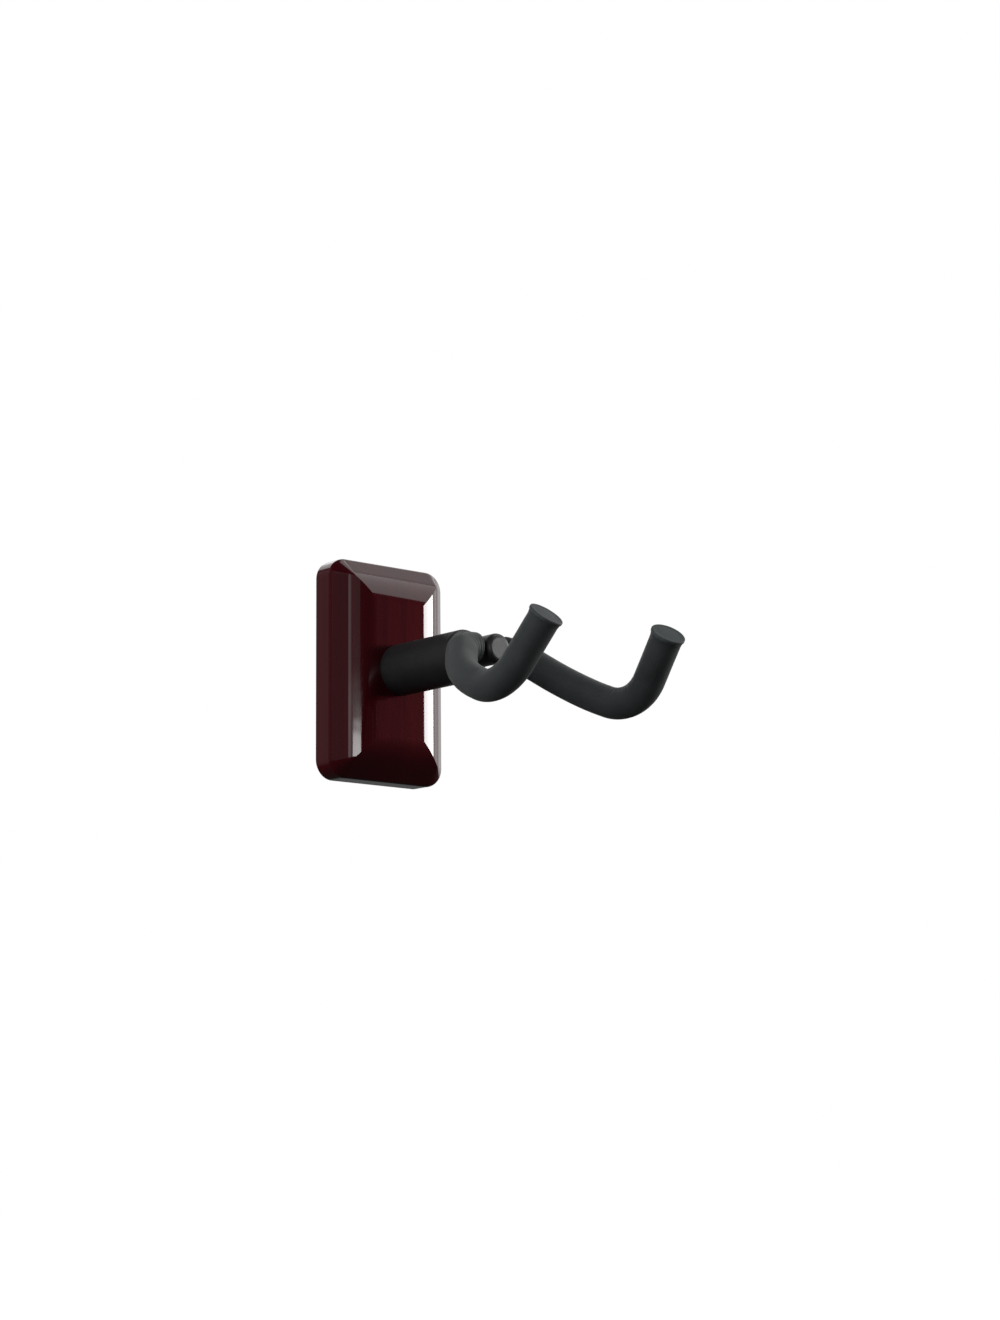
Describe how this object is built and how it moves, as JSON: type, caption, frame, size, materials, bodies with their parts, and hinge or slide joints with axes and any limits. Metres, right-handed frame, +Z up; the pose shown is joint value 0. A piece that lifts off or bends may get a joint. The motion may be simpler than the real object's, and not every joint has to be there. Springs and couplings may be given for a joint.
{
  "type": "wall guitar hanger",
  "caption": "Wooden wall plate with a round arm and a swivelling two-hook yoke in foam sleeves that holds a guitar by its headstock.",
  "frame": {"origin": "on the arm's axis, in the plane of the plate's back face, which lies on the wall", "axes": "+X to the right seen from the front, +Z up, and the arm points out of the wall along -Y"},
  "size_m": [0.08, 0.1481, 0.09],
  "materials": {
    "lacquered_wood": "gloss",
    "bracket_steel": "satin",
    "fastener_steel": "satin",
    "tube_steel": "satin",
    "moulded_black": "satin",
    "bush_nylon": "matte",
    "pivot_steel": "satin",
    "foam_black": "matte",
    "cap_rubber": "matte"
  },
  "bodies": {
    "arm": {"mounting_plate": "lacquered_wood", "keyhole_bracket": "bracket_steel", "bracket_screws": "fastener_steel", "arm_bolt": "fastener_steel", "spring_washer": "fastener_steel", "arm_washer": "fastener_steel", "arm_nut": "fastener_steel", "locating_pin": "fastener_steel", "arm_tube": "tube_steel", "arm_cover": "moulded_black", "front_bush": "bush_nylon", "rear_bush": "bush_nylon", "thrust_washer": "bush_nylon"},
    "yoke": {"yoke_pivot": "pivot_steel", "keeper_washer": "fastener_steel", "lock_nut": "fastener_steel", "yoke_rod": "pivot_steel", "left_foam_sleeve": "foam_black", "right_foam_sleeve": "foam_black", "left_tip_cap": "cap_rubber", "right_tip_cap": "cap_rubber"}
  },
  "joints": [
    {"name": "yoke_swivel", "type": "hinge", "parent": "arm", "child": "yoke", "pos_m": [0, -0.06, 0], "axis": [0, -1, 0], "continuous": true}
  ]
}
